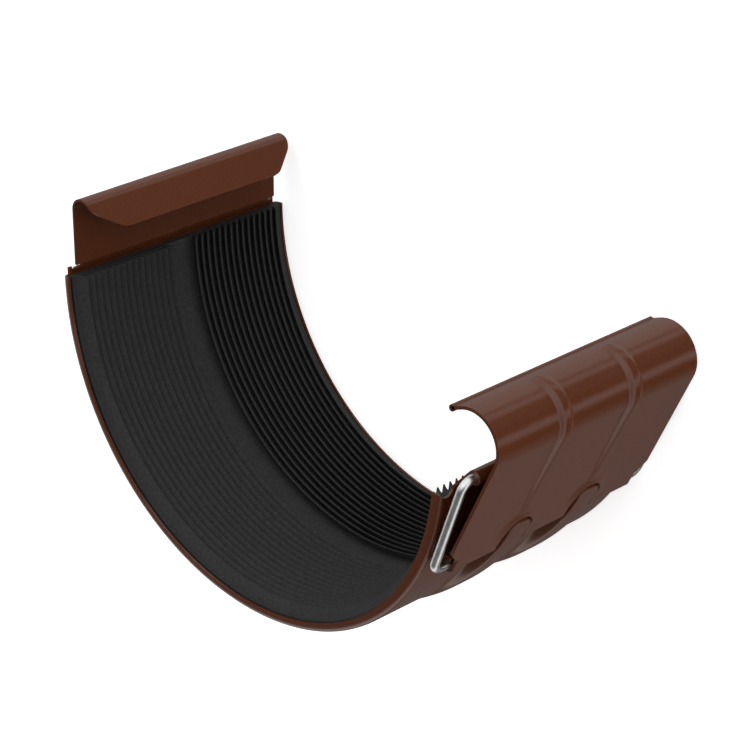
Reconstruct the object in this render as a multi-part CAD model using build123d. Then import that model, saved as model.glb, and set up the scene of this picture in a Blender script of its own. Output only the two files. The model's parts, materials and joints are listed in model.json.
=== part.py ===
from build123d import *
from math import acos, asin, atan2, cos, degrees, radians, sin
import os

os.makedirs("parts", exist_ok=True)

# While it is drawn, the union stands as it is used: X runs along the gutter, +Y points to the
# wall of the house and +Z is up. The origin lies on the gutter's axis, at the middle of the
# band's width. Angles around the gutter are in degrees from +Y, and 270 is straight down.
# All lengths are in mm.

# Band: one strip of painted steel sheet with a lip along each rim.
SHEET = 0.6
BAND_WIDTH = 69.9
BAND_RADIUS = 66.0
FRONT_STEP = 7.2
FRONT_JOIN_ANGLE = 255.0
FRONT_END_ANGLE = 185.3
LIP_DEPTH = 2.4
LIP_BEVEL = 1.1

# Back flange with its folded-over flap, set inwards from the wall of the channel.
FLANGE_INSET = 2.75
FLANGE_TOP = 20.3
FLANGE_SET = 1.7
SET_BEND = 0.8
SET_TURN = 34.0
FOLD_RADIUS = 3.4
FOLD_TURN = 139.0
FLAP_LENGTH = 7.5
FLAP_TAPER_IN = 7.4
FLAP_TAPER_RUN = 6.3
FLAP_ROUND = 3.6
EAR_HEIGHT = 1.8
EAR_ROUND = 1.4
SLIT_HEIGHT = 0.9
SLIT_DEPTH = 2.0
FLANGE_CORNER = 1.7

# Seal: one rubber strip with fins that lean to its plain middle zone.
SEAL_GAP = 0.3
SEAL_SIDE_GAP = 0.5
SEAL_BASE = 1.7
FIN_HEIGHT = 2.1
FIN_LEAN = 1.2
FIN_PITCH = 1.93
PLAIN_ZONE = 7.0
SEAL_SHORT_ANGLE = 1.5

# Wire link: the upper hinge is placed from the band's front edge.
WIRE_RADIUS = 1.1
WIRE_CLEARANCE = 0.06
WIRE_BEND = 2.4
WIRE_SIDE_GAP = 0.35
WIRE_END = 17.5
WIRE_FLAT_COUNT = 12
UPPER_HINGE_OUT = 6.05
UPPER_HINGE_UP = 5.2
UPPER_BARREL_INSET = 1.5
UPPER_BARREL_TURN = 275.0
TAB_BEND = 2.0
TAB_RELIEF_DEPTH = 1.2
TAB_RELIEF_WIDTH = 3.6

# Lock plate: pressed from a heavier sheet; its curl is placed from the upper hinge. It stands in
# from the band's rims, and both barrels stand in from its sides.
PLATE_SHEET = 0.8
PLATE_INSET = 2.65
PLATE_LENGTH = 36.3
PLATE_SLOPE = 25.5
CURL_RADIUS = 8.2
CURL_IN = -0.1
CURL_UP = 8.8
CURL_TIP_ANGLE = 70.0
CURL_TIP_RUN = 3.0
HEM_RADIUS = 0.85
LOWER_BARREL_INSET = 3.2
LOWER_BARREL_TURN = 285.0
CORNER_ABOVE_BARREL = 6.24
CORNER_DROP = 2.8
CORNER_IN = 2.3

# Pressed ribs on the plate, and the half-moons in which the band's own ribs end. The tool that
# presses a half-moon reaches through the band's wall to both sides of the plate.
RIB_OFFSET = 11.3
PRESS_WIDTH = 4.7
PRESS_TOP_WIDTH = 2.2
PRESS_HEIGHT = 0.9
PRESS_LOW_HEIGHT = 0.35
PRESS_START_ANGLE = 88.0
PRESS_FADE_ANGLE = 8.0
PRESS_ABOVE_BARREL = 11.34
PRESS_FADE = 2.0
MOON_HALF_WIDTH = 4.0
MOON_ABOVE_BARREL = 7.84
MOON_RISE = 1.1
MOON_REACH = 36.3
MOON_GAP = 0.45
NOTCH_TOP_GAP = 0.8
NOTCH_RIM_WIDTH = 1.7
NOTCH_RIM_RISE = 0.5
BELLY_RIB_END_ANGLE = 246.0


def ahead(angle):
    """Unit vector of a heading in a sketch plane."""
    return Vector(cos(radians(angle)), sin(radians(angle)))


def path_side(start, heading, moves, shift):
    """One side of a sheet drawn by straight runs and bends, shifted to the left of the heading.

    A move is (length, 0) for a straight run or (radius, turn) for a bend; a positive turn is to the left.
    """
    point = start + ahead(heading + 90) * shift
    edges = []
    for size, turn in moves:
        if turn == 0:
            end = point + ahead(heading) * size
            edges.append(Line(point, end))
        else:
            way = 1 if turn > 0 else -1
            radius = size - way * shift
            centre = point + ahead(heading + 90) * (way * radius)
            middle = centre - ahead(heading + turn / 2 + 90) * (way * radius)
            end = centre - ahead(heading + turn + 90) * (way * radius)
            edges.append(ThreePointArc(point, middle, end))
            heading += turn
        point = end
    return edges


def ribbon(start, heading, moves, thickness):
    """Face of a bent sheet seen edge-on, with its middle line along the moves."""
    left = path_side(start, heading, moves, thickness / 2)
    right = path_side(start, heading, moves, -thickness / 2)
    caps = [Line(left[0] @ 0, right[0] @ 0), Line(left[-1] @ 1, right[-1] @ 1)]
    return make_face([*left, *right, *caps])


def across(profile, width):
    """Solid of a profile given in the YZ plane, spread evenly to both sides of the middle."""
    return extrude(Plane.YZ * profile, amount=width / 2, both=True)


def turned(section, centre, start_angle, end_angle):
    """Solid of a section swept around a line parallel to X through the centre.

    The section is drawn with X across and the distance from that line upward.
    """
    placed = Pos(0, centre.X, centre.Y) * Rot(start_angle, 0, 0) * section
    axis = Axis((0, centre.X, centre.Y), (1, 0, 0))
    return revolve(placed, axis, end_angle - start_angle)


# All widths follow from the band's width.
flange_width = BAND_WIDTH - 2 * FLANGE_INSET
plate_width = BAND_WIDTH - 2 * PLATE_INSET
upper_barrel_width = plate_width - 2 * UPPER_BARREL_INSET
lower_barrel_width = plate_width - 2 * LOWER_BARREL_INSET

# The band's two arcs meet in a common tangent at the joining angle.
front_radius = BAND_RADIUS - FRONT_STEP
axis_point = Vector(0, 0)
front_centre = ahead(FRONT_JOIN_ANGLE) * FRONT_STEP
front_edge = front_centre + ahead(FRONT_END_ANGLE) * front_radius


def half_round(section_at, end_angle):
    """Both arcs of the band, or of a strip that lies in it, as one solid."""
    back = turned(section_at(BAND_RADIUS), axis_point, 0, FRONT_JOIN_ANGLE - 360)
    front = turned(section_at(front_radius), front_centre, FRONT_JOIN_ANGLE, end_angle)
    return back + front


def lipped(outer, width, depth, bevel):
    """Rectangle that reaches down from the outer radius, with its two outer corners bevelled."""
    block = Pos(0, outer - depth / 2) * Rectangle(width, depth)
    return chamfer(block.vertices().group_by(Axis.Y)[-1], bevel)


def band_section(outer):
    """Channel section of the band: web, bends and two inward lips."""
    inner_bevel = LIP_BEVEL - SHEET * (2 - 2**0.5)
    hollow = lipped(outer - SHEET, BAND_WIDTH - 2 * SHEET, LIP_DEPTH, inner_bevel)
    return lipped(outer, BAND_WIDTH, LIP_DEPTH, LIP_BEVEL) - hollow


seal_half = BAND_WIDTH / 2 - SHEET - SEAL_SIDE_GAP
first_foot = PLAIN_ZONE / 2 + FIN_LEAN
fin_count = int((seal_half - first_foot) / FIN_PITCH)


def seal_section(outer):
    """Section of the seal: a flat base with a comb of leaning fins on each side of the plain zone."""
    top = outer - SHEET - SEAL_GAP
    root = top - SEAL_BASE
    comb = [(first_foot, root)]
    for index in range(fin_count):
        foot = first_foot + index * FIN_PITCH
        comb += [(foot - FIN_LEAN, root - FIN_HEIGHT), (foot + FIN_PITCH, root)]
    half = make_face(Polyline((0, top), (0, root), *comb, (seal_half, root), (seal_half, top), close=True))
    return half + mirror(half, Plane.YZ)


# Upper hinge, curl and plate follow one another from the band's front edge.
upper_axis = front_edge + Vector(-UPPER_HINGE_OUT, UPPER_HINGE_UP)
curl_centre = upper_axis + Vector(CURL_IN, CURL_UP)
out_angle = 180 + PLATE_SLOPE
outward = ahead(out_angle)
downward = ahead(out_angle + 90)
face_start = curl_centre + outward * CURL_RADIUS


def on_face(down, rise=0.0):
    """Point of the YZ plane at a distance down the plate's outer face and above it."""
    return face_start + downward * down + outward * rise


# The outer face's own plane: local x runs along X, local y up the plate, local z outward.
face_plane = Plane(
    origin=(0, face_start.X, face_start.Y),
    x_dir=(1, 0, 0),
    z_dir=(0, outward.X, outward.Y),
)

bore = WIRE_RADIUS + WIRE_CLEARANCE
lower_roll = bore + PLATE_SHEET / 2
straight_length = PLATE_LENGTH - bore - PLATE_SHEET
lower_axis = on_face(straight_length, -(PLATE_SHEET / 2 + lower_roll))

# The lower features of the plate keep their distance from its barrel.
moon_top = straight_length - MOON_ABOVE_BARREL
press_length = straight_length - PRESS_ABOVE_BARREL
corner_start = straight_length - CORNER_ABOVE_BARREL


def moon_outline(half_width, top):
    """Round-topped slot that starts at a distance down the plate and runs past its lower edge."""
    bottom = 2 * MOON_REACH
    middle = top + half_width
    straight = Pos(0, -(middle + bottom) / 2) * Rectangle(2 * half_width, bottom - middle)
    return straight + Pos(0, -middle) * Circle(half_width)


def moon_prism(half_width, top):
    """The slot outline made a prism square to the plate, far to both sides of it."""
    return extrude(face_plane * moon_outline(half_width, top), amount=MOON_REACH, both=True)


# Belly rib: its ridge is one arc that touches the half-moon's plane and runs out into the band.
moon_plane_reach = on_face(0, MOON_RISE).dot(outward)
run_out = ahead(BELLY_RIB_END_ANGLE)
centre_along = front_centre.dot(run_out)
centre_across = (front_centre - run_out * centre_along).length
run_out_reach = centre_along + (front_radius**2 - centre_across**2) ** 0.5
ridge_span = cos(radians(BELLY_RIB_END_ANGLE - out_angle))
ridge_radius = (moon_plane_reach - run_out_reach * ridge_span) / (1 - ridge_span)
ridge_centre = run_out * (run_out_reach - ridge_radius)


def belly_rib(inset):
    """One belly rib at the middle of the band, smaller all round by the inset."""
    disc = Pos(ridge_centre.X, ridge_centre.Y) * Circle(ridge_radius - inset)
    half_width = MOON_HALF_WIDTH - inset
    return across(disc, 2 * half_width) & moon_prism(half_width, moon_top + inset)


# Band: half-round channel with its two pressed ribs.
band = half_round(band_section, FRONT_END_ANGLE)
front_inside = across(Pos(front_centre.X, front_centre.Y) * Circle(front_radius - SHEET), BAND_WIDTH)
rib_shell = belly_rib(0) - belly_rib(SHEET) - front_inside
for side in (-1, 1):
    place = Pos(side * RIB_OFFSET, 0, 0)
    band = band - place * belly_rib(SHEET) + place * rib_shell

# Band: back flange that steps inwards from the wall, rises and folds over in a flap.
wall_line = BAND_RADIUS - SHEET / 2
slant = (FLANGE_SET - 2 * SET_BEND * (1 - cos(radians(SET_TURN)))) / sin(radians(SET_TURN))
set_height = 2 * SET_BEND * sin(radians(SET_TURN)) + slant * cos(radians(SET_TURN))
fold_line = FOLD_RADIUS - SHEET / 2
flange_moves = [
    (SET_BEND, SET_TURN),
    (slant, 0),
    (SET_BEND, -SET_TURN),
    (FLANGE_TOP - FOLD_RADIUS - set_height, 0),
    (fold_line, FOLD_TURN),
    (FLAP_LENGTH, 0),
]
flange = across(ribbon(Vector(wall_line, 0), 90, flange_moves, SHEET), flange_width)

# The flap's corners are slanted and well rounded.
flap_way = ahead(90 + FOLD_TURN)
fold_centre = Vector(wall_line - FLANGE_SET - fold_line, FLANGE_TOP - FOLD_RADIUS)
flap_tip = fold_centre + ahead(FOLD_TURN) * fold_line + flap_way * FLAP_LENGTH
flap_plane = Plane(origin=(0, flap_tip.X, flap_tip.Y), x_dir=(1, 0, 0), z_dir=(0, flap_way.Y, -flap_way.X))
flap_half = flange_width / 2
flap_top = FLAP_LENGTH + FOLD_RADIUS
flap_blank = Pos(0, flap_top / 2) * Rectangle(flange_width, flap_top)
flap_shape = make_face(
    Polyline(
        (-flap_half, flap_top),
        (-flap_half, FLAP_TAPER_RUN),
        (FLAP_TAPER_IN - flap_half, 0),
        (flap_half - FLAP_TAPER_IN, 0),
        (flap_half, FLAP_TAPER_RUN),
        (flap_half, flap_top),
        close=True,
    )
)
flap_shape = fillet(flap_shape.vertices().sort_by(Axis.Y)[:4], FLAP_ROUND)
flange = flange - extrude(flap_plane * (flap_blank - flap_shape), amount=2 * SHEET, both=True)

# The flange's foot: a relief slit and a rounded corner at each end, above a small ear of the wall.
slit_top = EAR_HEIGHT + SLIT_HEIGHT
slit = Pos(flap_half, EAR_HEIGHT + SLIT_HEIGHT / 2) * SlotOverall(2 * SLIT_DEPTH, SLIT_HEIGHT)
corner_middle = Pos(flap_half - FLANGE_CORNER, slit_top + FLANGE_CORNER)
corner_block = Pos(flap_half - FLANGE_CORNER / 2, slit_top + FLANGE_CORNER / 2)
corner = corner_block * Rectangle(FLANGE_CORNER, FLANGE_CORNER) - corner_middle * Circle(FLANGE_CORNER)
relief = extrude(Plane.XZ * (slit + corner), amount=-2 * BAND_RADIUS)
ear_width = BAND_WIDTH / 2 - LIP_BEVEL - flap_half
ear = Pos(flap_half + ear_width / 2, wall_line, EAR_HEIGHT / 2) * Box(ear_width, SHEET, EAR_HEIGHT)
ear = fillet(ear.edges().filter_by(Axis.Y).group_by(Axis.Z)[-1].sort_by(Axis.X)[-1], EAR_ROUND)
band = band + (flange - relief - mirror(relief, Plane.YZ)) + ear + mirror(ear, Plane.YZ)

# Band: tab that leans outward from the front edge and rolls into the upper barrel.
# Its straight run touches the bend and the barrel on the same side.
tab_start = front_edge - ahead(FRONT_END_ANGLE) * (SHEET / 2)
tab_heading = FRONT_END_ANGLE - 90
upper_roll = bore + SHEET / 2
to_hinge = upper_axis - (tab_start + ahead(tab_heading + 90) * TAB_BEND)
run_heading = degrees(atan2(to_hinge.Y, to_hinge.X) - asin((upper_roll - TAB_BEND) / to_hinge.length))
run_length = (to_hinge.length**2 - (upper_roll - TAB_BEND) ** 2) ** 0.5
tab_moves = [(TAB_BEND, run_heading - tab_heading), (run_length, 0), (upper_roll, UPPER_BARREL_TURN)]
band = band + across(ribbon(tab_start, tab_heading, tab_moves, SHEET), upper_barrel_width)

# A shallow round scallop in the front edge frees the tab at each end.
scallop_radius = TAB_RELIEF_WIDTH**2 / (8 * TAB_RELIEF_DEPTH) + TAB_RELIEF_DEPTH / 2
scallop_x = (upper_barrel_width + TAB_RELIEF_WIDTH) / 2
scallop = Cylinder(scallop_radius, 2 * LIP_BEVEL, rotation=(90, 0, 0))
scallop_z = front_edge.Y - TAB_RELIEF_DEPTH + scallop_radius
for side in (-1, 1):
    band -= Pos(side * scallop_x, front_edge.X, scallop_z) * scallop

# Seal: one strip along the inside of both arcs, a little shorter than the band at its front end.
seal = half_round(seal_section, FRONT_END_ANGLE + SEAL_SHORT_ANGLE)

# Wire link: open loop whose two ends turn into the plate's lower barrel.
leg_x = plate_width / 2 + WIRE_SIDE_GAP + WIRE_RADIUS
wire_path = FilletPolyline(
    (-WIRE_END, lower_axis.X, lower_axis.Y),
    (-leg_x, lower_axis.X, lower_axis.Y),
    (-leg_x, upper_axis.X, upper_axis.Y),
    (leg_x, upper_axis.X, upper_axis.Y),
    (leg_x, lower_axis.X, lower_axis.Y),
    (WIRE_END, lower_axis.X, lower_axis.Y),
    radius=WIRE_BEND,
)
wire_start = Plane(origin=wire_path @ 0, z_dir=wire_path % 0)
wire_link = sweep(wire_start * RegularPolygon(WIRE_RADIUS, WIRE_FLAT_COUNT), path=wire_path)

# Lock plate: one sheet that turns left all the way from the curl's tip to the lower barrel.
plate_line = CURL_RADIUS - PLATE_SHEET / 2
curl_end = curl_centre + ahead(CURL_TIP_ANGLE) * plate_line
plate_start = curl_end - ahead(CURL_TIP_ANGLE + 90) * CURL_TIP_RUN
plate_moves = [
    (CURL_TIP_RUN, 0),
    (plate_line, out_angle - CURL_TIP_ANGLE),
    (straight_length, 0),
    (lower_roll, LOWER_BARREL_TURN),
]
plate = across(ribbon(plate_start, CURL_TIP_ANGLE + 90, plate_moves, PLATE_SHEET), plate_width)
plate += across(Pos(plate_start.X, plate_start.Y) * Circle(HEM_RADIUS), plate_width)


def press_section(height, depth):
    """Section of a pressed rib, x across it and y outward from the plate's face, sunk by the depth."""
    foot = -PLATE_SHEET / 2 - depth
    top = height - depth
    return make_face(
        Polyline(
            (-PRESS_WIDTH / 2, foot),
            (-PRESS_TOP_WIDTH / 2, top),
            (PRESS_TOP_WIDTH / 2, top),
            (PRESS_WIDTH / 2, foot),
            close=True,
        )
    )


def square_plane(seat, along):
    """Plane through a seat, square to the way a pressed rib runs there."""
    return Plane(origin=(0, seat.X, seat.Y), x_dir=(1, 0, 0), z_dir=(0, along.X, along.Y))


def curl_section(height, depth, angle):
    """Pressed-rib section standing on the curl at an angle."""
    seat = curl_centre + ahead(angle) * CURL_RADIUS
    return square_plane(seat, ahead(angle + 90)) * press_section(height, depth)


def face_section(height, depth, down):
    """Pressed-rib section standing on the flat of the plate."""
    return square_plane(on_face(down), downward) * press_section(height, depth)


def pressing(depth):
    """One pressed rib at the middle of the plate: a fade-in, a run around the curl and a long fade-out."""
    curl_axis = Axis((0, curl_centre.X, curl_centre.Y), (1, 0, 0))
    ring_turn = out_angle - PRESS_START_ANGLE
    ring = revolve(curl_section(PRESS_HEIGHT, depth, PRESS_START_ANGLE), curl_axis, ring_turn)
    fade_in = loft([
        curl_section(-PLATE_SHEET / 4, depth, PRESS_START_ANGLE - PRESS_FADE_ANGLE),
        curl_section(PRESS_HEIGHT, depth, PRESS_START_ANGLE),
    ])
    run = loft([face_section(PRESS_HEIGHT, depth, 0), face_section(PRESS_LOW_HEIGHT, depth, press_length)])
    fade_out = loft([
        face_section(PRESS_LOW_HEIGHT, depth, press_length),
        face_section(-PLATE_SHEET / 4, depth, press_length + PRESS_FADE),
    ])
    return fade_in + ring + run + fade_out


# Notch: a slot that clears the half-moon, inside a flared rim that stands out from the face.
notch_top = moon_top - NOTCH_TOP_GAP
notch_half = MOON_HALF_WIDTH + MOON_GAP
rim = loft([
    face_plane * moon_outline(notch_half + NOTCH_RIM_WIDTH, notch_top - NOTCH_RIM_WIDTH),
    face_plane.offset(NOTCH_RIM_RISE) * moon_outline(notch_half, notch_top),
])
rim_end = corner_start + CORNER_DROP
rim &= extrude(face_plane * (Pos(0, -rim_end / 2) * Rectangle(plate_width, rim_end)), amount=CURL_RADIUS)
notch = moon_prism(notch_half, notch_top)
press_relief = pressing(PLATE_SHEET)
pressed_rib = pressing(0)
for side in (-1, 1):
    place = Pos(side * RIB_OFFSET, 0, 0)
    plate = plate + place * pressed_rib - place * press_relief + place * rim - place * notch

# Lower corners: slanted at first, then cut back square to the barrel's width.
edge_x = plate_width / 2
square_start = corner_start + CORNER_DROP
corner_cut = make_face(
    Polyline(
        (edge_x, -corner_start),
        (edge_x - CORNER_IN, -square_start),
        (lower_barrel_width / 2, -square_start),
        (lower_barrel_width / 2, -2 * PLATE_LENGTH),
        (plate_width, -2 * PLATE_LENGTH),
        (plate_width, -corner_start),
        close=True,
    )
)
corner_prism = extrude(face_plane * corner_cut, amount=CURL_RADIUS, both=True)
plate = plate - corner_prism - mirror(corner_prism, Plane.YZ)

# On its round belly the union would roll, so it is stored standing on its end, with -X upward.
pieces = {"band": band, "seal": seal, "wire_link": wire_link, "lock_plate": plate}
on_end = Rot(0, 90, 0)
for name, shape in pieces.items():
    solids = (on_end * shape).solids()
    print(name, len(solids), "solid(s)", round(shape.volume), "mm3")
    export_step(solids[0] if len(solids) == 1 else Compound(children=list(solids)), f"parts/{name}.step")
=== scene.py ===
# %% [markdown]
# # A gutter union
# This part joins two lengths of half-round gutter. A painted steel band with a rubber strip inside it
# wraps the joint, its back flange hooks over the gutter's back edge, and a toggle lock at the front
# pulls it tight: a wire link hinged on the band, and a pressed plate hinged on the wire.
# The measured solids come first, as a fixed frame. Every new piece is fitted to them, so nothing
# has to be placed by eye.

# %% Load the frame
import json
from math import asin, atan2, cos, degrees, pi, radians, sin, tan

import bmesh
import bpy
from mathutils import Euler, Matrix, Vector


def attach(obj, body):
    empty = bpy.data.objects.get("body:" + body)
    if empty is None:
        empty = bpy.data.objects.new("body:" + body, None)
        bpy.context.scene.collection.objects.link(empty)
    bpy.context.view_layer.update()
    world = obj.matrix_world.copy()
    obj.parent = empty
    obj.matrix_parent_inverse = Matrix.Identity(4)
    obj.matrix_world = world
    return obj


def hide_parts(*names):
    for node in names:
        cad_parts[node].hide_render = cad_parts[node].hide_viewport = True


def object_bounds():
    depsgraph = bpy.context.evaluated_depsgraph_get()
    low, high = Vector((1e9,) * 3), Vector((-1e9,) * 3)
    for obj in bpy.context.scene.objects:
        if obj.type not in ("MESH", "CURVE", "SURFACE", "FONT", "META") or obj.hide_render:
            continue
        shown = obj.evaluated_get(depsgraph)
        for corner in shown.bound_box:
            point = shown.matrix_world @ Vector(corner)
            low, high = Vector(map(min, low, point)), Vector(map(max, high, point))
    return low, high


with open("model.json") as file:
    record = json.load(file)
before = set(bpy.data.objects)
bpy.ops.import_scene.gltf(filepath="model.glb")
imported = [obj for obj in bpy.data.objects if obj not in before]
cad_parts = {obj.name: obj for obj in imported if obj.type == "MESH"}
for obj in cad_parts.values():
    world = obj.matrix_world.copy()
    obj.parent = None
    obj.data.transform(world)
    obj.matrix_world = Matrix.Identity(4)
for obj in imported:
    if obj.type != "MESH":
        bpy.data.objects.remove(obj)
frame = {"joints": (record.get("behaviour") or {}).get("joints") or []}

cad_low, cad_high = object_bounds()
hinges = {joint["name"]: Vector(joint["pos_m"]) for joint in frame["joints"]}
print("frame from", [round(v, 4) for v in cad_low], "to", [round(v, 4) for v in cad_high])

# %% [markdown]
# ## The camera
# A product picture like this is taken with a long lens, so that the near rim is hardly larger than
# the far one. The union is drawn here as it is used, with X across it, +Y to the wall and +Z up. It
# is stored standing on one end, so one turn carries every piece, the camera and the lamps there.

# %% Camera
MM = 0.001
stand = Matrix.Rotation(radians(90.0), 4, "Y")

camera_data = bpy.data.cameras.new("long_lens")
camera_data.sensor_width = 36.0
camera_data.lens = 132.106
camera = bpy.data.objects.new("long_lens", camera_data)
bpy.context.scene.collection.objects.link(camera)
camera_place = Vector((-0.40813, -0.41895, 0.26073))
camera_turn = Euler((radians(64.705), 0.0, radians(-44.628)))
camera.matrix_world = stand @ Matrix.LocRotScale(camera_place, camera_turn, None)
bpy.context.scene.camera = camera
print("camera at", [round(v, 3) for v in camera.matrix_world.translation])

# %% [markdown]
# ## The floor
# A product picture stands on plain white. The floor glows faintly like a light table, so it stays
# white and the shadow stays pale. The paint doesn't mirror it, so that the brown keeps its depth.

# %% Floor
FLOOR_HALF = 8.0


def node_material(name):
    """A new material, with its node tree and its surface shader."""
    material = bpy.data.materials.new(name)
    material.use_nodes = True
    tree = material.node_tree
    shader = tree.nodes["Principled BSDF"]
    return material, tree, shader


floor_mesh = bmesh.new()
bmesh.ops.create_grid(floor_mesh, x_segments=1, y_segments=1, size=FLOOR_HALF)
bmesh.ops.translate(floor_mesh, vec=(0.0, 0.0, cad_low.z), verts=floor_mesh.verts)
floor_data = bpy.data.meshes.new("floor")
floor_mesh.to_mesh(floor_data)
floor_mesh.free()
floor = bpy.data.objects.new("floor", floor_data)
bpy.context.scene.collection.objects.link(floor)
floor.visible_glossy = False

floor_white, _, floor_shader = node_material("floor_white")
floor_shader.inputs["Base Color"].default_value = (0.96, 0.96, 0.96, 1.0)
floor_shader.inputs["Roughness"].default_value = 0.9
floor_shader.inputs["Specular IOR Level"].default_value = 0.1
floor_shader.inputs["Emission Color"].default_value = (1.0, 1.0, 1.0, 1.0)
floor_shader.inputs["Emission Strength"].default_value = 0.65
floor_data.materials.append(floor_white)
print("floor at", round(cad_low.z, 4))

# %% [markdown]
# ## The surroundings
# The paint is glossy enough to mirror what stands around it, so a studio lights such a part with
# large surfaces, pale ones and dark ones. The pale ones give the brown its milky sheen, the dark
# ones keep it deep, and a narrow bright one draws the speckled band along the lock's curl. They are
# made as a world of panels: below the horizon, a bearing from 0 to 1 round the gutter's axis tells
# them apart.

# %% Surround: panels around the gutter's axis
surround = bpy.data.worlds.new("studio_surround")
surround.use_nodes = True
surround_nodes = surround.node_tree.nodes
surround_links = surround.node_tree.links
direction = surround_nodes.new("ShaderNodeTexCoord")

bearing = surround_nodes.new("ShaderNodeTexGradient")
bearing.gradient_type = "RADIAL"
surround_links.new(direction.outputs["Generated"], bearing.inputs["Vector"])
panels = surround_nodes.new("ShaderNodeValToRGB")
surround_links.new(bearing.outputs["Fac"], panels.inputs["Fac"])


def bearing_of(angle):
    """The bearing's value for an angle around the gutter, in degrees from +Y."""
    return ((90.0 - angle) / 360.0 + 0.5) % 1.0


# The grey of each panel's edges, by their angle around the gutter; the grey runs evenly between them.
panel_grey = {
    271.0: 0.22,
    250.0: 0.22,
    230.0: 0.12,
    214.0: 0.0,
    194.0: 0.0,
    189.0: 0.75,
    173.0: 0.75,
    168.0: 0.0,
    150.0: 0.0,
    140.0: 0.10,
    122.0: 0.10,
    112.0: 0.0,
    104.0: 0.80,
    94.0: 0.80,
    86.0: 0.05,
    76.0: 0.75,
    30.0: 0.45,
    -30.0: 0.10,
    -88.0: 0.16,
}
stops = sorted((bearing_of(angle), grey) for angle, grey in panel_grey.items())
ramp = panels.color_ramp
ramp.elements[0].position, ramp.elements[1].position = stops[0][0], stops[-1][0]
for place, grey in stops[1:-1]:
    ramp.elements.new(place)
for stop, (place, grey) in zip(ramp.elements, stops):
    stop.color = (grey, grey, grey, 1.0)
print("panels:", len(ramp.elements), "stops")

# %% [markdown]
# A white strip lies all round the horizon, which a floor and a wall of white paper would also give.
# High above it the surround goes over from dull, on the belly's side, to pale, on the side of the
# union's open top.

# %% Surround: the horizon and above
split = surround_nodes.new("ShaderNodeSeparateXYZ")
surround_links.new(direction.outputs["Generated"], split.inputs["Vector"])
pale_side = surround_nodes.new("ShaderNodeMapRange")
pale_side.inputs["From Min"].default_value = -0.4
pale_side.inputs["From Max"].default_value = 0.35
pale_side.inputs["To Min"].default_value = 0.10
pale_side.inputs["To Max"].default_value = 1.0
surround_links.new(split.outputs["X"], pale_side.inputs["Value"])


def height_blend(lower, upper, start, end):
    """Goes over from one colour to another, or to white, between two heights of the direction."""
    share = surround_nodes.new("ShaderNodeMapRange")
    share.inputs["From Min"].default_value = start
    share.inputs["From Max"].default_value = end
    surround_links.new(split.outputs["Z"], share.inputs["Value"])
    blend = surround_nodes.new("ShaderNodeMix")
    blend.data_type = "RGBA"
    blend.inputs["B"].default_value = (1.0, 1.0, 1.0, 1.0)
    surround_links.new(share.outputs["Result"], blend.inputs["Factor"])
    surround_links.new(lower, blend.inputs["A"])
    if upper is not None:
        surround_links.new(upper, blend.inputs["B"])
    return blend.outputs["Result"]


low_half = height_blend(panels.outputs["Color"], None, -0.30, -0.05)
whole = height_blend(low_half, pale_side.outputs["Result"], 0.25, 0.45)
surround_links.new(whole, surround_nodes["Background"].inputs["Color"])
surround_nodes["Background"].inputs["Strength"].default_value = 1.05
bpy.context.scene.world = surround
bpy.context.scene.view_settings.view_transform = "Standard"
print("white strip and upper surround:", len(surround_nodes), "world nodes")

# %% [markdown]
# ## Lamps
# Two large lamps add soft highlights to the even light of the surroundings, one from above and one
# from the left. Both face the middle of the union.

# %% Lamps
def soft_lamp(name, place, size, watts):
    """A large square lamp that faces the origin, placed for the union as it is used."""
    data = bpy.data.lights.new(name, "AREA")
    data.shape = "SQUARE"
    data.size = size
    data.energy = watts
    lamp = bpy.data.objects.new(name, data)
    bpy.context.scene.collection.objects.link(lamp)
    turn = (-Vector(place)).to_track_quat("-Z", "Y")
    lamp.matrix_world = stand @ Matrix.LocRotScale(Vector(place), turn, None)


soft_lamp("overhead", (-0.5, -0.5, 1.1), 1.0, 0.8)
soft_lamp("left_side", (-1.1, -0.2, 0.3), 0.9, 0.8)

# %% [markdown]
# ## Paint
# The sheet is coated in a satin chocolate brown. Close up the coating is not smooth: it dried with a
# fine orange peel, which shows as a speckle wherever a pale reflection falls on it. Fine noise
# in Object coordinates makes that relief and a slight change of tone, so it has the same grain on
# every piece, whatever the piece's size.

# %% Paint
TONE_EDGES = (0.35, 0.65)


def speckled(tree, shader, grain, depth, tones, gloss):
    """Fine noise of a grain size in metres drives the tone, the roughness and a shallow relief."""
    places = tree.nodes.new("ShaderNodeTexCoord")
    noise = tree.nodes.new("ShaderNodeTexNoise")
    noise.inputs["Scale"].default_value = 1.0 / grain
    noise.inputs["Detail"].default_value = 2.0
    tree.links.new(places.outputs["Object"], noise.inputs["Vector"])
    tone = tree.nodes.new("ShaderNodeValToRGB")
    for stop, edge, colour in zip(tone.color_ramp.elements, TONE_EDGES, tones):
        stop.position = edge
        stop.color = (*colour, 1.0)
    tree.links.new(noise.outputs["Fac"], tone.inputs["Fac"])
    tree.links.new(tone.outputs["Color"], shader.inputs["Base Color"])
    sheen = tree.nodes.new("ShaderNodeMapRange")
    sheen.inputs["To Min"].default_value = gloss[0]
    sheen.inputs["To Max"].default_value = gloss[1]
    tree.links.new(noise.outputs["Fac"], sheen.inputs["Value"])
    tree.links.new(sheen.outputs["Result"], shader.inputs["Roughness"])
    relief = tree.nodes.new("ShaderNodeBump")
    relief.inputs["Strength"].default_value = 1.0
    relief.inputs["Distance"].default_value = depth
    tree.links.new(noise.outputs["Fac"], relief.inputs["Height"])
    tree.links.new(relief.outputs["Normal"], shader.inputs["Normal"])


paint, paint_tree, paint_shader = node_material("brown_paint")
speckled(
    paint_tree,
    paint_shader,
    grain=0.45 * MM,
    depth=0.016 * MM,
    tones=((0.080, 0.0200, 0.0060), (0.090, 0.0235, 0.0076)),
    gloss=(0.20, 0.28),
)
print("finish:", paint.name)

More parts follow.
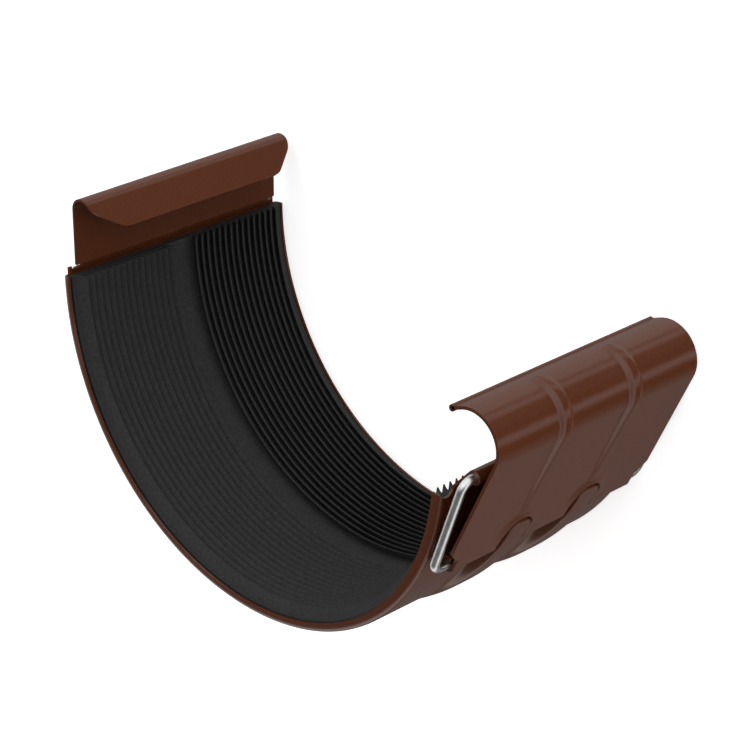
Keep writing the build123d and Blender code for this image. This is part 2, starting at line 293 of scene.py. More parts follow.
# %% [markdown]
# ## Rubber
# The seal is moulded from black rubber with a dull skin. The same speckle serves, coarser and
# rougher. Hardly any gloss is left, because a glossier skin would look grey where it mirrors the
# pale surroundings.

# %% Rubber
rubber, rubber_tree, rubber_shader = node_material("black_rubber")
speckled(
    rubber_tree,
    rubber_shader,
    grain=0.8 * MM,
    depth=0.01 * MM,
    tones=((0.028, 0.028, 0.028), (0.036, 0.036, 0.036)),
    gloss=(0.55, 0.7),
)
rubber_shader.inputs["Specular IOR Level"].default_value = 0.05
print("finish:", rubber.name)

# %% [markdown]
# ## Wire
# The link is bent from round galvanised wire, a bright metal with faint clouds of duller zinc. It
# is a metal in the shader too, so its colour shows only in what it mirrors.

# %% Zinc
zinc, zinc_tree, zinc_shader = node_material("galvanised_wire")
speckled(
    zinc_tree,
    zinc_shader,
    grain=1.5 * MM,
    depth=0.004 * MM,
    tones=((0.68, 0.68, 0.67), (0.80, 0.80, 0.79)),
    gloss=(0.26, 0.36),
)
zinc_shader.inputs["Metallic"].default_value = 1.0
print("finish:", zinc.name)

# %% [markdown]
# ## The wire link as a bent rod
# The real link starts as straight wire and is bent round a former four times. It is made here the
# same way: a circle is pushed straight ahead by extrusion, and turned round a bend's centre by spin.

# %% Wire link: two helpers for a bent rod
BEND_STEPS = 10


def push_ahead(bm, rim, step):
    """Extrudes the open rim straight ahead and returns the new rim."""
    grown = bmesh.ops.extrude_edge_only(bm, edges=rim)["geom"]
    bmesh.ops.translate(bm, vec=step, verts=[g for g in grown if isinstance(g, bmesh.types.BMVert)])
    return [g for g in grown if isinstance(g, bmesh.types.BMEdge)]


def turn_round(bm, rim, centre, axis, angle, steps=BEND_STEPS):
    """Spins the open rim around a bend's centre and returns the new rim."""
    verts = list({v for e in rim for v in e.verts})
    spun = bmesh.ops.spin(
        bm, geom=verts + rim, cent=centre, axis=axis, angle=angle, steps=steps, use_merge=False
    )["geom_last"]
    return [g for g in spun if isinstance(g, bmesh.types.BMEdge)]


print("steps in each bend of the wire:", BEND_STEPS)

# %% [markdown]
# The hinge points come from the frame, so the wire meets both barrels. One half is bent, from the
# cut end in the lower barrel round two corners to the middle of the upper barrel. The other half is
# its mirror image.

# %% Wire link
WIRE_RADIUS = 1.1 * MM
WIRE_BEND = 2.4 * MM
WIRE_END = 17.5 * MM
WIRE_SIDES = 32
LEG_X = 33.75 * MM
WELD = 0.001 * MM

upper_hinge = stand.inverted() @ hinges["wire_swing"]
lower_hinge = stand.inverted() @ hinges["plate_swing"]
leg_way = (upper_hinge - lower_hinge).normalized()

wire_mesh = bmesh.new()
across = Vector((1.0, 0.0, 0.0))
start = Vector((-WIRE_END, lower_hinge.y, lower_hinge.z))
facing = Matrix.Translation(start) @ Matrix.Rotation(-pi / 2, 4, "Y")
bmesh.ops.create_circle(
    wire_mesh, cap_ends=False, radius=WIRE_RADIUS, segments=WIRE_SIDES, matrix=facing
)
rim = list(wire_mesh.edges)
run = LEG_X - WIRE_END - WIRE_BEND
rim = push_ahead(wire_mesh, rim, -across * run)
bend_up = Vector((-LEG_X + WIRE_BEND, lower_hinge.y, lower_hinge.z)) + leg_way * WIRE_BEND
rim = turn_round(wire_mesh, rim, bend_up, across.cross(leg_way), -pi / 2)
leg_run = (upper_hinge - lower_hinge).length - 2 * WIRE_BEND
rim = push_ahead(wire_mesh, rim, leg_way * leg_run)
bend_over = Vector((-LEG_X + WIRE_BEND, upper_hinge.y, upper_hinge.z)) - leg_way * WIRE_BEND
rim = turn_round(wire_mesh, rim, bend_over, across.cross(leg_way), -pi / 2)
rim = push_ahead(wire_mesh, rim, across * (LEG_X - WIRE_BEND))

half = list(wire_mesh.verts) + list(wire_mesh.edges) + list(wire_mesh.faces)
bmesh.ops.mirror(wire_mesh, geom=half, matrix=Matrix.Identity(4), merge_dist=WELD, axis="X")
bmesh.ops.remove_doubles(wire_mesh, verts=wire_mesh.verts, dist=WELD)
bmesh.ops.holes_fill(wire_mesh, edges=wire_mesh.edges, sides=0)
bmesh.ops.recalc_face_normals(wire_mesh, faces=wire_mesh.faces)
print("wire:", len(wire_mesh.faces), "faces")

# %% [markdown]
# Every piece is finished alike. It is stood on its end, shaded smooth apart from its sharp edges,
# given its material and hung on the body it moves with, and the CAD node it replaces is hidden.

# %% Wire link: the finished piece
CREASE_ANGLE = 40.0


def finished_piece(name, bm, material, node, body):
    """A new piece from a bmesh: stood on its end, smooth-shaded, in its finish, for a CAD node."""
    bmesh.ops.transform(bm, matrix=stand, verts=bm.verts)
    for face in bm.faces:
        face.smooth = True
    data = bpy.data.meshes.new(name)
    bm.to_mesh(data)
    bm.free()
    data.set_sharp_from_angle(angle=radians(CREASE_ANGLE))
    data.materials.append(material)
    piece = bpy.data.objects.new(name, data)
    bpy.context.scene.collection.objects.link(piece)
    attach(piece, body)
    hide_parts(node)
    print(name, len(data.polygons), "faces, in place of", node)
    return piece


finished_piece("bent_wire", wire_mesh, zinc, "wire_link", "wire_body")

# %% [markdown]
# ## Forming sheet metal
# The band and the plate are both bent from flat sheet. A sheet's edge can be carried along like the
# wire's rim: straight on for a flat run, round a centre for a bend. The same two helpers do it, with
# a list of runs and bends. Modifiers then give the sheet its thickness and break its sharp edges.

# %% Forming helpers
BEVEL_ANGLE = 50.0
SAME_PLACE = 0.01 * MM


def ahead(angle):
    """Unit vector across the union as it is used, at an angle in degrees from +Y to +Z."""
    return Vector((0.0, cos(radians(angle)), sin(radians(angle))))


def form(bm, rim, place, heading, moves, step_angle=6.0):
    """Carries a sheet's open rim along straight runs (length, 0) and bends (radius, turn)."""
    for size, turn in moves:
        if turn == 0:
            rim = push_ahead(bm, rim, ahead(heading) * size)
            place = place + ahead(heading) * size
        else:
            way = 90.0 if turn > 0 else -90.0
            centre = place + ahead(heading + way) * size
            steps = max(2, round(abs(turn) / step_angle))
            rim = turn_round(bm, rim, centre, across, radians(turn), steps)
            place = centre - ahead(heading + turn + way) * size
            heading += turn
    return rim, place, heading


def inside(rim, half_width):
    """The edges of a rim that lie within a half width of the middle."""
    return [e for e in rim if max(abs(v.co.x) for v in e.verts) < half_width + SAME_PLACE]


def give_thickness(piece, thickness, edge_round):
    """A wall of even thickness on both sides of the middle surface, with its cut edges rounded."""
    wall = piece.modifiers.new("wall", "SOLIDIFY")
    wall.thickness = thickness
    wall.offset = 0.0
    edges = piece.modifiers.new("edges", "BEVEL")
    edges.width = edge_round
    edges.segments = 2
    edges.limit_method = "ANGLE"
    edges.angle_limit = radians(BEVEL_ANGLE)
    edges.harden_normals = True


print("sheet edges sharper than", BEVEL_ANGLE, "degrees are broken")

# %% [markdown]
# ## The band
# One line across the sheet, with its two lips already turned in, is spun about the centres of both
# arcs. The middle of its front end then runs on as the tab that rolls into the hinge barrel, and the
# middle of its back end steps inwards, rises as the back flange and folds over into the flap.

# %% Band: the channel
SHEET = 0.6 * MM
BAND_RADIUS = 66.0 * MM
BAND_HALF = 34.95 * MM
FRONT_STEP = 7.2 * MM
FRONT_RADIUS = BAND_RADIUS - FRONT_STEP
FRONT_JOIN_ANGLE = 255.0
FRONT_END_ANGLE = 185.3
LIP_DEPTH = 2.4 * MM
LIP_BEND = 1.3 * MM
LIP_BEND_STEPS = 5
BACK_STEPS = 70
FRONT_STEPS = 46
TAB_HALF = 30.8 * MM
SCALLOP_WIDTH = 3.6 * MM
SCALLOP_DEPTH = 1.2 * MM
SCALLOP_PARTS = (0.25, 0.55, 0.68)
FLANGE_HALF = 32.2 * MM
SLIT_REACH = 30.2 * MM

wall_line = BAND_RADIUS - SHEET / 2
front_centre = ahead(FRONT_JOIN_ANGLE) * FRONT_STEP
band_mesh = bmesh.new()
lip_x = BAND_HALF - SHEET / 2
scallop_stations = [TAB_HALF + SCALLOP_WIDTH * part for part in SCALLOP_PARTS]
stations = sorted([0.0, SLIT_REACH, TAB_HALF, FLANGE_HALF, *scallop_stations])
line = [(x, wall_line) for x in stations] + [(lip_x, wall_line), (lip_x, BAND_RADIUS - LIP_DEPTH)]
line_verts = [band_mesh.verts.new((x, r, 0.0)) for x, r in line]
for first, second in zip(line_verts, line_verts[1:]):
    band_mesh.edges.new((first, second))
corner = line_verts[-2]
bmesh.ops.bevel(
    band_mesh,
    geom=[corner],
    affect="VERTICES",
    offset=LIP_BEND,
    segments=LIP_BEND_STEPS,
    profile=0.5,
    material=-1,
)
half = list(band_mesh.verts) + list(band_mesh.edges)
bmesh.ops.mirror(band_mesh, geom=half, matrix=Matrix.Identity(4), merge_dist=WELD, axis="X")
bmesh.ops.remove_doubles(band_mesh, verts=band_mesh.verts, dist=WELD)
back_rim = list(band_mesh.edges)
back_turn = FRONT_JOIN_ANGLE - 360.0
front_rim = turn_round(band_mesh, back_rim, Vector(), across, radians(back_turn), BACK_STEPS)
front_turn = FRONT_END_ANGLE - FRONT_JOIN_ANGLE
front_rim = turn_round(band_mesh, front_rim, front_centre, across, radians(front_turn), FRONT_STEPS)
print("channel:", len(band_mesh.faces), "faces")

# %% [markdown]
# The front edge has a shallow scallop beside each end of the tab, so that the bend can start
# without tearing the sheet. The tab then bends down, runs straight to the hinge point and rolls
# round the wire.

# %% Band: scallops and the hinge tab
WIRE_BORE = 1.16 * MM
TAB_BEND = 2.0 * MM
UPPER_BARREL_TURN = 275.0
TAB_STEP_ANGLE = 12.0

for vert in {v for e in front_rim for v in e.verts}:
    span = (abs(vert.co.x) - TAB_HALF) / SCALLOP_WIDTH
    if 0.0 < span < 1.0:
        back_off = SCALLOP_DEPTH * 4 * span * (1 - span) / FRONT_RADIUS
        turn_back = Matrix.Rotation(back_off, 3, "X")
        vert.co = front_centre + turn_back @ (vert.co - front_centre)

tab_start = front_centre + ahead(FRONT_END_ANGLE) * (FRONT_RADIUS - SHEET / 2)
tab_heading = FRONT_END_ANGLE - 90.0
upper_roll = WIRE_BORE + SHEET / 2
to_hinge = upper_hinge - (tab_start + ahead(tab_heading + 90.0) * TAB_BEND)
rise = upper_roll - TAB_BEND
run_heading = degrees(atan2(to_hinge.z, to_hinge.y) - asin(rise / to_hinge.length))
run_length = (to_hinge.length**2 - rise**2) ** 0.5
tab_moves = [(TAB_BEND, run_heading - tab_heading), (run_length, 0), (upper_roll, UPPER_BARREL_TURN)]
form(band_mesh, inside(front_rim, TAB_HALF), tab_start, tab_heading, tab_moves, TAB_STEP_ANGLE)
print("with the hinge tab:", len(band_mesh.faces), "faces")

# %% [markdown]
# At the back the sheet first steps inwards, so that the gutter's edge can stand behind the seal. A
# slit at each end of the step lets the narrower flange bend away from the channel's wall. Outside
# each slit a small ear of the channel's own edge stands straight up.

# %% Band: the step and its slits
FLANGE_SET = 1.7 * MM
SET_BEND = 0.8 * MM
SET_TURN = 34.0
EAR_HEIGHT = 1.8 * MM
SLIT_HEIGHT = 0.9 * MM

slant = (FLANGE_SET - 2 * SET_BEND * (1 - cos(radians(SET_TURN)))) / sin(radians(SET_TURN))
bend_rise = SET_BEND * sin(radians(SET_TURN))
ears = [
    e
    for e in inside(back_rim, scallop_stations[-1])
    if min(abs(v.co.x) for v in e.verts) > FLANGE_HALF - SAME_PLACE
]
push_ahead(band_mesh, ears, ahead(90.0) * EAR_HEIGHT)
below_slit = (EAR_HEIGHT - bend_rise) / cos(radians(SET_TURN))
place = Vector((0.0, wall_line, 0.0))
foot = [(SET_BEND, SET_TURN), (below_slit, 0), (slant - below_slit, 0), (SET_BEND, -SET_TURN)]
rim, place, heading = form(band_mesh, inside(back_rim, FLANGE_HALF), place, 90.0, foot)
slit_faces = [
    f
    for f in band_mesh.faces
    if EAR_HEIGHT < f.calc_center_median().z < EAR_HEIGHT + SLIT_HEIGHT
    and SLIT_REACH < abs(f.calc_center_median().x) < FLANGE_HALF
]
print("foot of the flange:", len(band_mesh.faces), "faces, slit faces to take out:", len(slit_faces))

# %% [markdown]
# The flange stands upright behind the gutter. Its top folds over to the front and hangs down as the
# flap. Many short rows make up the flap, because its outline is shaped afterwards.

# %% Band: back flange and flap
FLANGE_TOP = 20.3 * MM
FOLD_LINE = 3.1 * MM
FOLD_TURN = 139.0
FLAP_LENGTH = 7.5 * MM
FLAP_ROWS = 24

upright = FLANGE_TOP - FOLD_LINE - SHEET / 2 - place.z
rim, place, heading = form(band_mesh, rim, place, heading, [(upright, 0), (FOLD_LINE, FOLD_TURN)])
flap_start, flap_way = place, ahead(heading)
fold_centre = flap_start + ahead(heading + 90.0) * FOLD_LINE
form(band_mesh, rim, place, heading, [(FLAP_LENGTH / FLAP_ROWS, 0)] * FLAP_ROWS)
bmesh.ops.delete(band_mesh, geom=slit_faces, context="FACES_ONLY")
print("flange and flap, still square:", len(band_mesh.faces), "faces")

# %% [markdown]
# The flap is narrower at its lower edge, with two rounded corners on each side. Its outline is worked
# out flat, as half a width for each way along the flap, and every row is drawn in to that width.

# %% Band: the flap's outline
FLAP_HALF = 24.8 * MM
FLAP_SIDE = 1.2 * MM
UPPER_ROUND = 5.2 * MM
LOWER_ROUND = 4.2 * MM
TRACE = 0.001 * MM


def rounded(before, corner, after, radius, steps=8):
    """The points of an arc that rounds a flat corner."""
    back, on = (before - corner).normalized(), (after - corner).normalized()
    half_angle = back.angle(on) / 2
    centre = corner + (back + on).normalized() * (radius / sin(half_angle))
    start, end = (corner + way * (radius / tan(half_angle)) - centre for way in (back, on))
    return [centre + start.slerp(end, step / steps) * radius for step in range(steps + 1)]


# Each point has half the width as x and the way along the flap, from the end of the fold, as y.
upper = Vector((FLANGE_HALF, FLAP_SIDE, 0.0))
lower = Vector((FLAP_HALF, FLAP_LENGTH, 0.0))
side_start = Vector((FLANGE_HALF, -FLAP_LENGTH, 0.0))
tip_middle = Vector((0.0, FLAP_LENGTH, 0.0))
flap_line = rounded(side_start, upper, lower, UPPER_ROUND)
flap_line += rounded(upper, lower, tip_middle, LOWER_ROUND)


def flap_half(way):
    """Half the flap's width at a way along it."""
    if way <= flap_line[0].y:
        return FLANGE_HALF
    for first, second in zip(flap_line, flap_line[1:]):
        if way < second.y:
            return first.x + (second.x - first.x) * (way - first.y) / (second.y - first.y)
    return flap_line[-1].x


for vert in band_mesh.verts:
    if vert.co.y <= 0:
        continue
    arm = Vector((0.0, vert.co.y, vert.co.z)) - fold_centre
    on_flap = arm.dot(flap_way)
    if vert.co.z > fold_centre.z and on_flap < TRACE:
        # On the fold the way is an arc, and it is counted back from where the flap starts.
        vert.co.x *= flap_half(-FOLD_LINE * arm.angle(flap_start - fold_centre, 0.0)) / FLANGE_HALF
    elif vert.co.y < flap_start.y + TRACE and vert.co.z > EAR_HEIGHT:
        vert.co.x *= flap_half(on_flap) / FLANGE_HALF
print("with flange and flap:", len(band_mesh.faces), "faces")

# %% [markdown]
# Two ribs are pressed outwards in the belly. Each starts as a half-moon that fills a notch of the
# closed plate, and sinks back into the belly with flanks that grow softer. Its ridge runs flat on
# from the half-moon and then rounds into the belly's curve. The closed plate decides where the ridge
# starts, so the plate's slope and curl are set down here first.

# %% Band: the ridge of a belly rib
PLATE_SLOPE = 25.5
CURL_RADIUS = 8.2 * MM
CURL_CENTRE = upper_hinge + Vector((0.0, -0.1, 8.8)) * MM
MOON_TOP = 26.45 * MM
MOON_RISE = 1.1 * MM
RIB_END_ANGLE = 248.0

out_angle = 180.0 + PLATE_SLOPE
outward = ahead(out_angle)
downward = ahead(out_angle + 90.0)
face_start = CURL_CENTRE + outward * CURL_RADIUS
moon_reach = (face_start + outward * MOON_RISE).dot(outward)
run_out = ahead(RIB_END_ANGLE)
along = front_centre.dot(run_out)
aside = (front_centre - run_out * along).length
run_out_reach = along + (FRONT_RADIUS**2 - aside**2) ** 0.5
ridge_cos = cos(radians(RIB_END_ANGLE - out_angle))
ridge_radius = (moon_reach - run_out_reach * ridge_cos) / (1 - ridge_cos)
ridge_centre = run_out * (run_out_reach - ridge_radius)
moon_start = face_start + downward * MOON_TOP + outward * MOON_RISE
flat_run = (ridge_centre - moon_start).dot(downward)
rib_length = flat_run + ridge_radius * radians(RIB_END_ANGLE - out_angle)


def ridge_point(way):
    """Point of the ridge line at a distance from the half-moon's top."""
    if way < flat_run:
        return moon_start + downward * way
    angle = out_angle + degrees((way - flat_run) / ridge_radius)
    return ridge_centre + ahead(angle) * ridge_radius


print("rib length in mm:", round(rib_length / MM, 1), "of them flat:", round(flat_run / MM, 1))

# %% [markdown]
# A grid is laid around the rib's spine. Its rows follow the outline from one leg over the round top
# to the other leg. Its columns run from the spine, at 0, over the rim, at 1, and down the flank to
# its foot. That way the edge of the half-moon is one clean line of the grid.

# %% Band: belly ribs
RIB_OFFSET = 11.3 * MM
MOON_HALF = 3.25 * MM
MOON_FLANK = 0.2 * MM
SOFT_FROM = 8.0 * MM
SOFT_FLANK = 5.0 * MM
SOFT_NARROWING = 0.7
SOFT_GROWTH = 0.8
LEG_GROWTH = 1.3
SEAM_DEPTH = 0.01 * MM
FLANK_FOOT = 3.0
LEG_ROWS, TOP_ROWS, RIB_COLUMNS = 44, 28, 18


def belly_point(point):
    """The middle of the belly's sheet under a point, a trace deeper so that the seam is clean."""
    out = point - front_centre
    return front_centre + out.normalized() * (FRONT_RADIUS - SHEET / 2 - SEAM_DEPTH)


def belly_rib(bm, middle):
    """One pressed rib of the belly around its spine."""
    rows = 2 * LEG_ROWS + TOP_ROWS
    grid = bmesh.ops.create_grid(bm, x_segments=RIB_COLUMNS, y_segments=rows, size=1.0)["verts"]
    for vert in grid:
        row = (vert.co.y + 1) / 2 * rows - rows / 2
        out = (vert.co.x + 1) / 2 * FLANK_FOOT
        side = 1.0 if row > 0 else -1.0
        leg = max(0.0, (abs(row) - TOP_ROWS / 2) / LEG_ROWS)
        turn = min(1.0, abs(row) / (TOP_ROWS / 2)) * pi / 2
        spine = MOON_HALF + (rib_length - MOON_HALF) * leg**LEG_GROWTH
        soften = min(1.0, max(0.0, (spine - SOFT_FROM) / (rib_length - SOFT_FROM)))
        flank = MOON_FLANK + SOFT_FLANK * soften**SOFT_GROWTH
        core = MOON_HALF * (1 - SOFT_NARROWING * soften)
        past_rim = max(0.0, out - 1.0) / (FLANK_FOOT - 1.0)
        reach = core * min(out, 1.0) + flank * past_rim
        lift = 0.5 + 0.5 * cos(pi * past_rim)
        way = spine - reach * cos(turn)
        ridge = ridge_point(way) - outward * (SHEET / 2)
        vert.co = belly_point(ridge).lerp(ridge, lift)
        vert.co.x = middle + side * reach * sin(turn)
    bmesh.ops.remove_doubles(bm, verts=grid, dist=WELD)


for side in (-1, 1):
    belly_rib(band_mesh, side * RIB_OFFSET)
bmesh.ops.recalc_face_normals(band_mesh, faces=band_mesh.faces)
print("with belly ribs:", len(band_mesh.faces), "faces")

# %% [markdown]
# The whole band is still a surface without thickness. A wall of the sheet's thickness is given to it
# at the end, and its cut edges are rounded a little, so that they catch the light.

# %% Band: the finished piece
BAND_EDGE_ROUND = 0.12 * MM

band_piece = finished_piece("formed_band", band_mesh, paint, "band", "band_body")
give_thickness(band_piece, SHEET, BAND_EDGE_ROUND)

# %% [markdown]
# ## The lock plate
# The plate is one blank of heavier sheet. It is laid out flat first, as a grid whose lines already
# suit its outline: the columns crowd together at the sides of the two notches, and single rows lie
# where the corners and the straight face end. Then the blank is formed: ribs and rims are raised,
# and it is rolled into the curl at its top and the hinge barrel at its foot.

# %% Plate: the flat blank
PLATE_SHEET = 0.8 * MM
PLATE_HALF = 32.3 * MM
STRAIGHT = 34.34 * MM
BARREL_HALF = 29.1 * MM
CORNER_HALF = 30.0 * MM
CORNER_START = 28.1 * MM
CORNER_END = 30.9 * MM
CORNER_CUT = 0.05 * MM
BELOW_CORNER = 0.5 * MM
NOTCH_HALF = 4.45 * MM
NOTCH_CENTRE = 30.15 * MM
NOTCH_PULL = 19.0 * MM
OUTER_FROM = 20.0 * MM
TIP_RUN = 3.0 * MM
CURL_TIP_ANGLE = 70.0
LOWER_ROLL = 1.56 * MM
LOWER_TURN = 285.0

curl_line = CURL_RADIUS - PLATE_SHEET / 2
curl_arc = curl_line * radians(out_angle - CURL_TIP_ANGLE)
roll_arc = LOWER_ROLL * radians(LOWER_TURN)


def spread(start, end, count):
    """A number of even steps from a start up to, but without, an end."""
    return [start + (end - start) * step / count for step in range(count)]


notch_columns = [RIB_OFFSET + NOTCH_HALF * sin(radians(angle)) for angle in range(-90, 90, 5)]
right_half = spread(0.0, RIB_OFFSET - NOTCH_HALF, 7) + notch_columns
right_half += spread(RIB_OFFSET + NOTCH_HALF, OUTER_FROM, 4) + spread(OUTER_FROM, PLATE_HALF, 8)
right_half += [PLATE_HALF]
columns = [-x for x in reversed(right_half[1:])] + right_half
rows = spread(-curl_arc - TIP_RUN, -curl_arc, 4) + spread(-curl_arc, 0.0, 44)
rows += spread(0.0, NOTCH_PULL, 30) + spread(NOTCH_PULL, CORNER_START, 14)
rows += spread(CORNER_START, NOTCH_CENTRE, 4) + [NOTCH_CENTRE, CORNER_END, CORNER_END + CORNER_CUT]
rows += spread(CORNER_END + BELOW_CORNER, STRAIGHT, 4) + spread(STRAIGHT, STRAIGHT + roll_arc, 34)
rows += [STRAIGHT + roll_arc]

blank = bmesh.new()
bmesh.ops.create_grid(blank, x_segments=len(columns) - 1, y_segments=len(rows) - 1, size=1.0)
for vert in blank.verts:
    column = round((vert.co.x + 1) / 2 * (len(columns) - 1))
    row = round((vert.co.y + 1) / 2 * (len(rows) - 1))
    vert.co = Vector((columns[column], rows[row], 0.0))
print("blank:", len(blank.faces), "faces,", len(columns), "columns and", len(rows), "rows")

# %% [markdown]
# The notches are open below: their faces go, and the rows above each of them are drawn into an arc.
# The columns outside the notches are drawn in where the blank narrows, at its lower corners and
# along the hinge barrel.

# %% Plate: notches and corners
opened = [
    face
    for face in blank.faces
    if face.calc_center_median().y > NOTCH_CENTRE
    and abs(abs(face.calc_center_median().x) - RIB_OFFSET) < NOTCH_HALF
]
bmesh.ops.delete(blank, geom=opened, context="FACES")
for vert in blank.verts:
    aside = abs(abs(vert.co.x) - RIB_OFFSET)
    if aside < NOTCH_HALF and NOTCH_PULL < vert.co.y <= NOTCH_CENTRE + TRACE:
        arc_top = NOTCH_CENTRE - (NOTCH_HALF**2 - aside**2) ** 0.5
        part = (vert.co.y - NOTCH_PULL) / (NOTCH_CENTRE - NOTCH_PULL)
        vert.co.y = NOTCH_PULL + part * (arc_top - NOTCH_PULL)


def half_width(down):
    """Half the blank's width at a distance down the plate's face."""
    if down < CORNER_START:
        return PLATE_HALF
    if down > CORNER_END + SAME_PLACE:
        return BARREL_HALF
    part = (down - CORNER_START) / (CORNER_END - CORNER_START)
    return PLATE_HALF + part * (CORNER_HALF - PLATE_HALF)


for vert in blank.verts:
    beyond = abs(vert.co.x) - OUTER_FROM
    if beyond > 0:
        drawn_in = OUTER_FROM + beyond * (half_width(vert.co.y) - OUTER_FROM) / (PLATE_HALF - OUTER_FROM)
        vert.co.x = drawn_in if vert.co.x > 0 else -drawn_in
print("with its notches cut:", len(blank.faces), "faces")

# %% [markdown]
# The pressed ribs start round below the curl's edge, keep their height over the curl and fade out
# down the face. Around each notch the sheet swells outwards a little, because the same stroke that
# cut the notch drew its rim.

# %% Plate: pressed relief
PRESS_HALF = 2.25 * MM
PRESS_CREST = 0.28
PRESS_HEIGHT = 0.9 * MM
PRESS_LOW = 0.42 * MM
PRESS_START = -16.9 * MM
PRESS_LENGTH = 23.0 * MM
PRESS_FADE = 3.0 * MM
SWELL_HEIGHT = 0.5 * MM
SWELL_WIDTH = 2.3 * MM


def smooth_step(value):
    """Rises smoothly from 0 to 1 while its value does."""
    value = min(1.0, max(0.0, value))
    return value * value * (3.0 - 2.0 * value)


def press_relief(aside, down):
    """Height of a pressed rib beside its middle line, at a distance down the plate's face."""
    height = PRESS_HEIGHT + (PRESS_LOW - PRESS_HEIGHT) * max(0.0, down) / PRESS_LENGTH
    height *= 1.0 - smooth_step((down - PRESS_LENGTH) / PRESS_FADE)
    short = max(0.0, PRESS_START + PRESS_HALF - down)
    away = (aside**2 + short**2) ** 0.5 / PRESS_HALF
    return height * (1.0 - smooth_step((away - PRESS_CREST) / (1.0 - PRESS_CREST)))


def swell_relief(aside, down):
    """Height of the swollen rim at a distance from the notch's outline."""
    above = max(0.0, NOTCH_CENTRE - down)
    away = (aside**2 + above**2) ** 0.5 - NOTCH_HALF
    lower_end = 1.0 - smooth_step((down - CORNER_START) / (STRAIGHT - CORNER_START))
    return SWELL_HEIGHT * lower_end * (1.0 - smooth_step(away / SWELL_WIDTH))


heights = [round(press_relief(0.0, down) / MM, 2) for down in (0.0, PRESS_LENGTH)]
print("rib height in mm, at the curl's end and at the rib's foot:", heights)

# %% [markdown]
# Rolling turns a distance down the flat blank into a place on the formed plate. The relief is raised
# along the outward normal of that place. The upper edge ends in a tight round bead, made as a small
# tube along it.

# %% Plate: rolling
BEAD_LINE = 0.41 * MM
BEAD_SIDES = 20
PLATE_EDGE_ROUND = 0.15 * MM


def formed_place(down):
    """Middle line of the formed plate and its outward normal, at a distance down the face."""
    if down < -curl_arc:
        tip = CURL_CENTRE + ahead(CURL_TIP_ANGLE) * curl_line
        return tip + ahead(CURL_TIP_ANGLE + 90.0) * (down + curl_arc), ahead(CURL_TIP_ANGLE)
    if down < 0.0:
        normal = ahead(out_angle + degrees(down / curl_line))
        return CURL_CENTRE + normal * curl_line, normal
    face_line = CURL_CENTRE + outward * curl_line
    if down < STRAIGHT:
        return face_line + downward * down, outward
    normal = ahead(out_angle + degrees((down - STRAIGHT) / LOWER_ROLL))
    return face_line + downward * STRAIGHT - outward * LOWER_ROLL + normal * LOWER_ROLL, normal


for vert in blank.verts:
    side, down = vert.co.x, vert.co.y
    place, normal = formed_place(down)
    aside = abs(abs(side) - RIB_OFFSET)
    relief = max(press_relief(aside, down), swell_relief(aside, down)) if down < STRAIGHT else 0.0
    vert.co = place + normal * relief
    vert.co.x = side

bead_place = formed_place(-curl_arc - TIP_RUN)[0]
bead_place.x = -PLATE_HALF
bead_facing = Matrix.Translation(bead_place) @ Matrix.Rotation(pi / 2, 4, "Y")
bead = bmesh.ops.create_circle(
    blank, cap_ends=False, radius=BEAD_LINE, segments=BEAD_SIDES, matrix=bead_facing
)
bead_rim = list({e for v in bead["verts"] for e in v.link_edges})
push_ahead(blank, bead_rim, across * (2 * PLATE_HALF))
bmesh.ops.recalc_face_normals(blank, faces=blank.faces)
plate_piece = finished_piece("pressed_plate", blank, paint, "lock_plate", "lock_body")
give_thickness(plate_piece, PLATE_SHEET, PLATE_EDGE_ROUND)

# %% [markdown]
# ## The seal
# The rubber strip is extruded flat and then laid into the band. Rows of thin blades stand on it and
# lean to its plain middle, so that each gutter's edge slides in easily and water is held back. It is
# made like an extrusion too: one half of its section is drawn, mirrored and spun about the centres
# of the band's two arcs.

# %% Seal: its section
SEAL_TOP_DEPTH = 0.9 * MM
SEAL_BASE = 1.7 * MM
FIN_HEIGHT = 2.1 * MM
FIN_LEAN = 1.2 * MM
FIN_PITCH = 1.93 * MM
FIRST_FOOT = 4.7 * MM
FIN_COUNT = 15
SEAL_HALF = 33.85 * MM

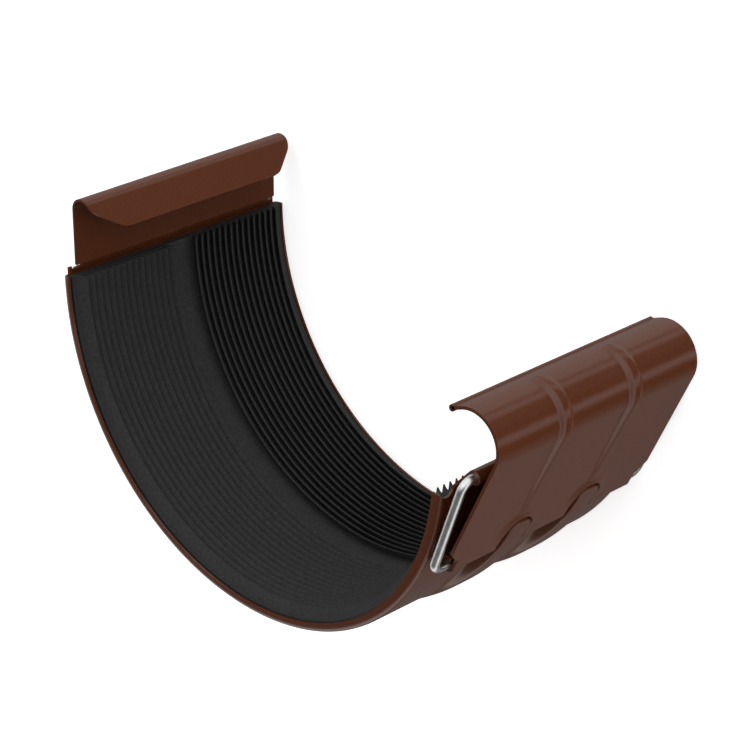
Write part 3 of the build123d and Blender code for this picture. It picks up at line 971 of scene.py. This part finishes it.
# Points of one fin: the share of its lean, the pitches beside it and the share of its height.
FIN_POINTS = [
    (0.0, -0.10, 0.00),
    (0.0, -0.24, 0.30),
    (1.0, 0.00, 0.93),
    (1.0, 0.07, 1.00),
    (1.0, 0.20, 0.95),
    (0.0, 0.42, 0.30),
    (0.0, 0.66, 0.00),
]

root = SEAL_TOP_DEPTH + SEAL_BASE
outline = [(0.0, root)]
for index in range(FIN_COUNT):
    foot = FIRST_FOOT + index * FIN_PITCH
    for lean, beside, height in FIN_POINTS:
        outline.append((foot - lean * FIN_LEAN + beside * FIN_PITCH, root + height * FIN_HEIGHT))
outline += [(SEAL_HALF, root), (SEAL_HALF, SEAL_TOP_DEPTH), (0.0, SEAL_TOP_DEPTH)]

seal_mesh = bmesh.new()
out = ahead(0.0)
corners = [seal_mesh.verts.new(across * x + out * (BAND_RADIUS - depth)) for x, depth in outline]
for first, second in zip(corners, corners[1:]):
    seal_mesh.edges.new((first, second))
half = list(seal_mesh.verts) + list(seal_mesh.edges)
bmesh.ops.mirror(seal_mesh, geom=half, matrix=Matrix.Identity(4), merge_dist=WELD, axis="X")
bmesh.ops.remove_doubles(seal_mesh, verts=seal_mesh.verts, dist=WELD)
rim = list(seal_mesh.edges)
print("seal section:", len(rim), "edges")

# %% [markdown]
# The section is carried round both arcs, a step every two degrees, and its two ends are closed. The
# seal ends just short of the band's front edge, so that the edge stays free for the hinge tab.

# %% Seal: laid into the band
SEAL_END_ANGLE = 186.8
SEAL_STEP_ANGLE = 2.0

for centre, turn in [(Vector(), back_turn), (front_centre, SEAL_END_ANGLE - FRONT_JOIN_ANGLE)]:
    steps = round(abs(turn) / SEAL_STEP_ANGLE)
    rim = turn_round(seal_mesh, rim, centre, across, radians(turn), steps)
bmesh.ops.holes_fill(seal_mesh, edges=seal_mesh.edges, sides=0)
bmesh.ops.recalc_face_normals(seal_mesh, faces=seal_mesh.faces)
finished_piece("finned_seal", seal_mesh, rubber, "seal", "band_body")

# %% [markdown]
# ## Closing
# At the end the view layer is brought up to date.

# %% Close
bpy.context.view_layer.update()
